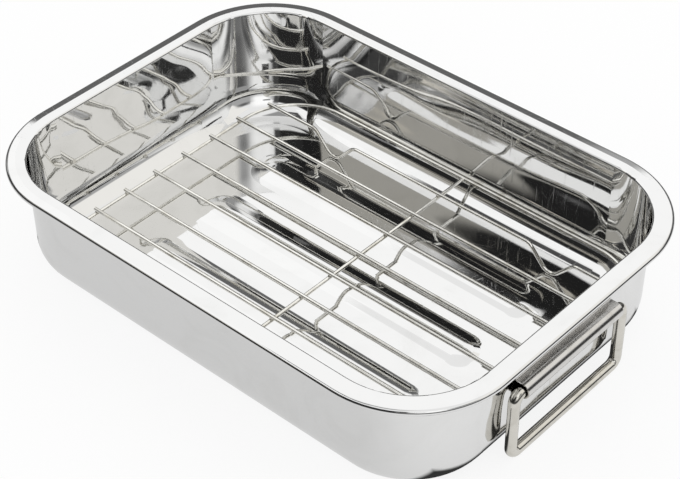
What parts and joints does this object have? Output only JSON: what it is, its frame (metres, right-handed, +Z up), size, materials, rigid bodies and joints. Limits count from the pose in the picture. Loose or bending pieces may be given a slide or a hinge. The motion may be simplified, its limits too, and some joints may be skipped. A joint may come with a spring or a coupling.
{
  "type": "roasting pan with rack",
  "caption": "Oblong stainless steel roasting pan with rounded corners and a rolled rim, a folding wire bail handle on each end wall and a footed wire rack that lifts out.",
  "frame": {"origin": "on the ground, centred under the pan's base", "axes": "+X along the pan from one handle to the other, +Y across the pan, +Z up out of its mouth"},
  "size_m": [0.3658, 0.2668, 0.0778],
  "materials": {
    "pan_steel": "mirror-polished stainless steel",
    "bracket_steel": "mirror-polished stainless steel",
    "handle_steel": "polished stainless steel wire",
    "rack_steel": "bright polished steel wire"
  },
  "bodies": {
    "pan": {"pan": "pan_steel", "handle_bracket_left": "bracket_steel", "handle_bracket_right": "bracket_steel"},
    "handle_left": {"handle_left": "handle_steel"},
    "handle_right": {"handle_right": "handle_steel"},
    "rack": {"rack_frame": "rack_steel", "rack_wire_1": "rack_steel", "rack_wire_2": "rack_steel", "rack_wire_3": "rack_steel", "rack_wire_4": "rack_steel", "rack_wire_5": "rack_steel", "rack_wire_6": "rack_steel", "rack_foot_wire_front": "rack_steel", "rack_foot_wire_back": "rack_steel", "rack_cross_wire": "rack_steel"}
  },
  "joints": [
    {"name": "handle_left_hinge", "type": "hinge", "parent": "pan", "child": "handle_left", "pos_m": [-0.17583, 0, 0.0488], "axis": [0, 1, 0], "range_deg": [-4, 156]},
    {"name": "handle_right_hinge", "type": "hinge", "parent": "pan", "child": "handle_right", "pos_m": [0.17583, 0, 0.0488], "axis": [0, -1, 0], "range_deg": [-4, 156]},
    {"name": "rack_lift", "type": "slide", "parent": "pan", "child": "rack", "axis": [0, 0, 1], "range_m": [0, 0.08]}
  ]
}
